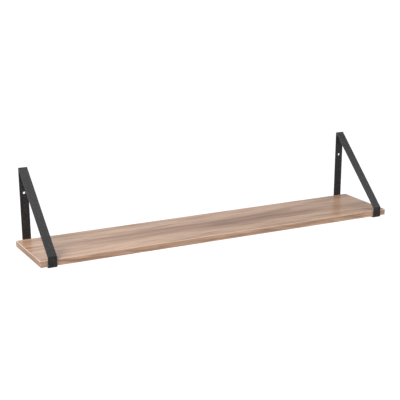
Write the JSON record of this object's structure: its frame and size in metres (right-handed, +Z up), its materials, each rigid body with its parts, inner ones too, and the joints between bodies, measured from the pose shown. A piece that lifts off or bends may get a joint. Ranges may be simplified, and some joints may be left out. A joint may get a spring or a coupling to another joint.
{
  "type": "wall shelf",
  "caption": "Long wood-decor shelf board held in closed triangular flat-bar steel brackets that screw to a wall.",
  "frame": {"origin": "on the wall plane, midway between the two wall-screw holes, at their height", "axes": "+X along the shelf from its left end to its right end, +Y into the wall, +Z up; the room side is -Y"},
  "size_m": [1.1, 0.2165, 0.2271],
  "materials": {
    "particle_board": "raw pressed chips",
    "wood_decor": "satin printed wood grain",
    "backing_decor": "satin printed wood grain",
    "edge_band": "satin printed wood grain",
    "powder_coat": "satin black powder coat",
    "screw_steel": "zinc plated"
  },
  "bodies": {
    "root": {"board_core": "particle_board", "top_laminate": "wood_decor", "bottom_laminate": "backing_decor", "front_edge_band": "edge_band", "back_edge_band": "edge_band", "left_edge_band": "edge_band", "right_edge_band": "edge_band", "left_bracket": "powder_coat", "right_bracket": "powder_coat", "board_screws": "screw_steel"}
  },
  "joints": []
}
